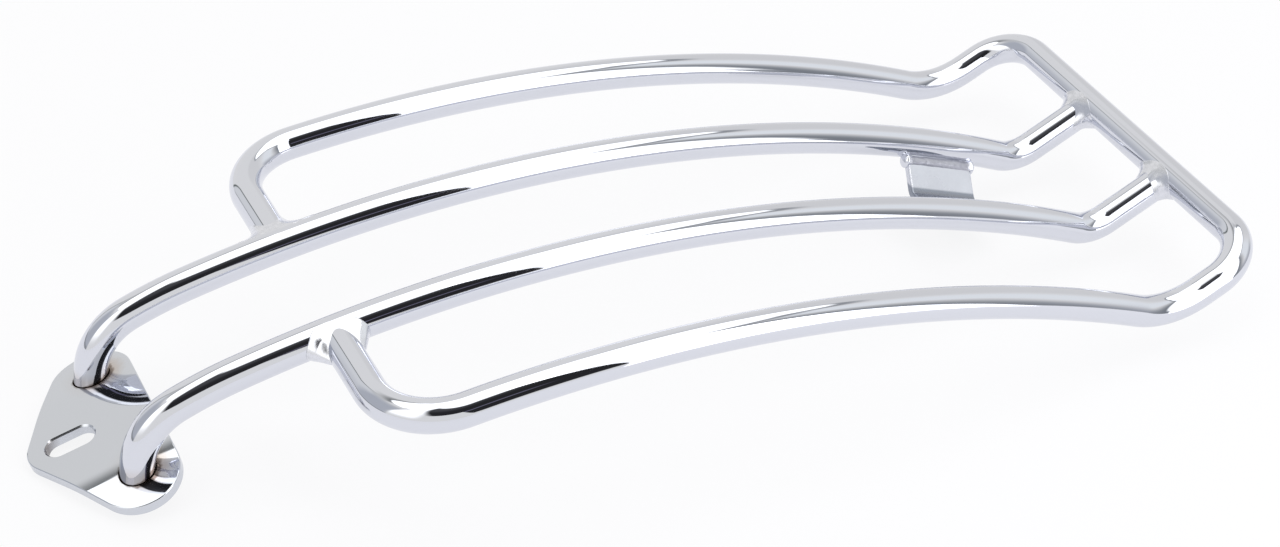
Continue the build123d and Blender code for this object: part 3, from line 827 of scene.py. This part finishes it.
class RACK_OT_stage(bpy.types.Operator):
    """Sets the pale floor, the studio's walls, ceiling and soft box, and the camera"""
    bl_idname = "rack.stage"
    bl_label = "Stage"

    def execute(self, context):
        scene = context.scene
        self.floor(scene)
        self.studio(scene)
        self.soft_box(scene)
        self.camera(scene)
        scene.view_settings.view_transform = "Standard"
        return {"FINISHED"}

    def floor(self, scene):
        """A wide level sheet just under the rack, near white to the eye, with a faint shadow.

        In the chrome it is a little greyer, so that the undersides of the bars show.
        """
        half, level, lines = 9000, -8.9, 13
        glow_in_view, glow_in_chrome = 0.85, 0.7
        material, tree = new_material("matt_studio_paper")
        place = add_node(tree, "ShaderNodeTexCoord").outputs["Object"]
        fibre = add_node(tree, "ShaderNodeTexNoise", {
            "Vector": place, "Scale": 1 / (4 * MM), "Detail": 2.0})
        tooth = add_node(tree, "ShaderNodeBump", {"Height": fibre, "Strength": 0.02, "Distance": 0.2 * MM})
        paper = add_node(tree, "ShaderNodeBsdfDiffuse", {
            "Color": (*scene.rack_colours.floor, 1), "Normal": tooth})
        rays = add_node(tree, "ShaderNodeLightPath").outputs
        mirrored = add_node(tree, "ShaderNodeMath", {
            0: rays["Is Glossy Ray"], 1: rays["Is Transmission Ray"]}, operation="MAXIMUM")
        in_chrome = add_node(tree, "ShaderNodeMath", {0: mirrored, 1: glow_in_chrome}, operation="MULTIPLY")
        in_view = add_node(tree, "ShaderNodeMath", {0: rays["Is Camera Ray"], 1: glow_in_view},
                           operation="MULTIPLY")
        share = add_node(tree, "ShaderNodeMath", {0: in_view, 1: in_chrome}, operation="MAXIMUM")
        glow = add_node(tree, "ShaderNodeEmission", {"Color": (1, 1, 1, 1), "Strength": 1.0})
        blend = add_node(tree, "ShaderNodeMixShader", {0: share, 1: paper, 2: glow})
        add_node(tree, "ShaderNodeOutputMaterial", {"Surface": blend})
        span = np.linspace(-half, half, lines)
        x, y = np.meshgrid(span, span)
        points = np.stack([x, y, np.full_like(x, level)], axis=-1).reshape(-1, 3)
        index = np.arange(lines**2).reshape(lines, lines)
        quads = np.stack([index[:-1, :-1], index[:-1, 1:], index[1:, 1:], index[1:, :-1]], axis=-1)
        sheet = mesh_piece("floor", points, quads.reshape(-1, 4).tolist(), material)

    def studio(self, scene):
        """The room by direction: pale walls, white ceiling, screens and a dark doorway.

        Latitude is the angle above level, longitude the angle from the rack's left towards its rear.
        Each patch has straight soft sides and is laid over the patches before it: a side keeps what
        has weight x longitude + weight x latitude over its limit, in degrees.
        """
        world = bpy.data.worlds.new("studio")
        scene.world = world
        world.use_nodes = True
        tree = world.node_tree
        tree.nodes.clear()
        direction = add_node(tree, "ShaderNodeTexCoord").outputs["Generated"]
        axes = add_node(tree, "ShaderNodeSeparateXYZ", {"Vector": direction}).outputs
        latitude = add_node(tree, "ShaderNodeMath", {0: axes["Z"]}, operation="ARCSINE")
        left = add_node(tree, "ShaderNodeMath", {0: axes["Y"], 1: -1.0}, operation="MULTIPLY")
        longitude = add_node(tree, "ShaderNodeMath", {0: axes["X"], 1: left}, operation="ARCTAN2")
        bearing = add_node(tree, "ShaderNodeCombineXYZ", {"X": longitude, "Y": latitude})
        colour = (*WALL, 1)
        for radiance, sides in STUDIO:
            mask = None
            for across, up, limit, soft in sides:
                value = add_node(tree, "ShaderNodeVectorMath", {0: bearing, 1: (across, up, 0)},
                                 operation="DOT_PRODUCT")
                step = add_node(tree, "ShaderNodeMapRange", {
                    "Value": value, "From Min": radians(limit - soft), "From Max": radians(limit + soft)},
                    interpolation_type="SMOOTHSTEP")
                mask = step if mask is None else add_node(
                    tree, "ShaderNodeMath", {0: mask, 1: step}, operation="MULTIPLY")
            colour = add_node(tree, "ShaderNodeMix", {
                "Factor": mask, "A": colour, "B": (*radiance, 1)}, data_type="RGBA")
        background = add_node(tree, "ShaderNodeBackground", {"Color": colour, "Strength": 1.0})
        add_node(tree, "ShaderNodeOutputWorld", {"Surface": background})

    def soft_box(self, scene):
        """A tall upright soft box beside the camera; its power gives a little over white in a mirror."""
        width, height, radiance = 0.385, 1.5, 1.7
        place = (0.5105, -0.526, 0.742)
        lamp = bpy.data.lights.new("soft_box", "AREA")
        lamp.shape = "RECTANGLE"
        lamp.size, lamp.size_y = width, height
        lamp.energy = radiance * pi * width * height
        box = bpy.data.objects.new("soft_box", lamp)
        box.matrix_world = Matrix.Translation(place) @ Matrix.Rotation(pi / 2, 4, "X")
        scene.collection.objects.link(box)

    def camera(self, scene):
        """Where the photograph was taken from, fitted to the bars' edges."""
        turn, tilt, roll = radians(-27.8005), radians(35.4542), radians(3.6771)
        x, y, z = -182.323 * MM, -742.229 * MM, 611.226 * MM
        back = Vector((sin(turn) * cos(tilt), -cos(turn) * cos(tilt), sin(tilt)))
        level = Vector((cos(turn), sin(turn), 0))
        upright = back.cross(level)
        right = cos(roll) * level + sin(roll) * upright
        up = cos(roll) * upright - sin(roll) * level
        lens = bpy.data.cameras.new("camera")
        lens.lens, lens.sensor_width = 74.914, 36.0
        lens.clip_start, lens.clip_end = 0.01, 50
        eye = bpy.data.objects.new("camera", lens)
        eye.matrix_world = Matrix((
            (right.x, up.x, back.x, x),
            (right.y, up.y, back.y, y),
            (right.z, up.z, back.z, z),
            (0, 0, 0, 1)))
        scene.collection.objects.link(eye)
        scene.camera = eye


OPERATORS = (RACK_OT_hoop, RACK_OT_rails, RACK_OT_joint_welds, RACK_OT_plate_welds, RACK_OT_tab_welds,
             RACK_OT_plate_and_tab, RACK_OT_stage)


class RACK_PT_panel(bpy.types.Panel):
    """Lists the rack's sizes, colours and pieces"""
    bl_idname = "RACK_PT_panel"
    bl_label = "Luggage rack"
    bl_space_type = "VIEW_3D"
    bl_region_type = "UI"
    bl_category = "Rack"

    def draw(self, context):
        for group in (context.scene.rack_sizes, context.scene.rack_colours):
            for name in group.__annotations__:
                self.layout.prop(group, name)
        for operator in OPERATORS:
            self.layout.operator(operator.bl_idname)


CLASSES = (RackSizes, RackColours, *OPERATORS, RACK_PT_panel)


def register():
    """Registers the classes and gives the scene its sizes and colours."""
    for entry in CLASSES:
        bpy.utils.register_class(entry)
    bpy.types.Scene.rack_sizes = bpy.props.PointerProperty(type=RackSizes)
    bpy.types.Scene.rack_colours = bpy.props.PointerProperty(type=RackColours)


def unregister():
    """Takes back what register has added."""
    del bpy.types.Scene.rack_sizes
    del bpy.types.Scene.rack_colours
    for entry in reversed(CLASSES):
        bpy.utils.unregister_class(entry)


def main():
    """Makes every piece and the stage in order."""
    register()
    bpy.ops.rack.hoop()
    bpy.ops.rack.rails()
    bpy.ops.rack.joint_welds()
    bpy.ops.rack.plate_welds()
    bpy.ops.rack.tab_welds()
    bpy.ops.rack.plate_and_tab()
    bpy.ops.rack.stage()


if __name__ == "__main__":
    main()
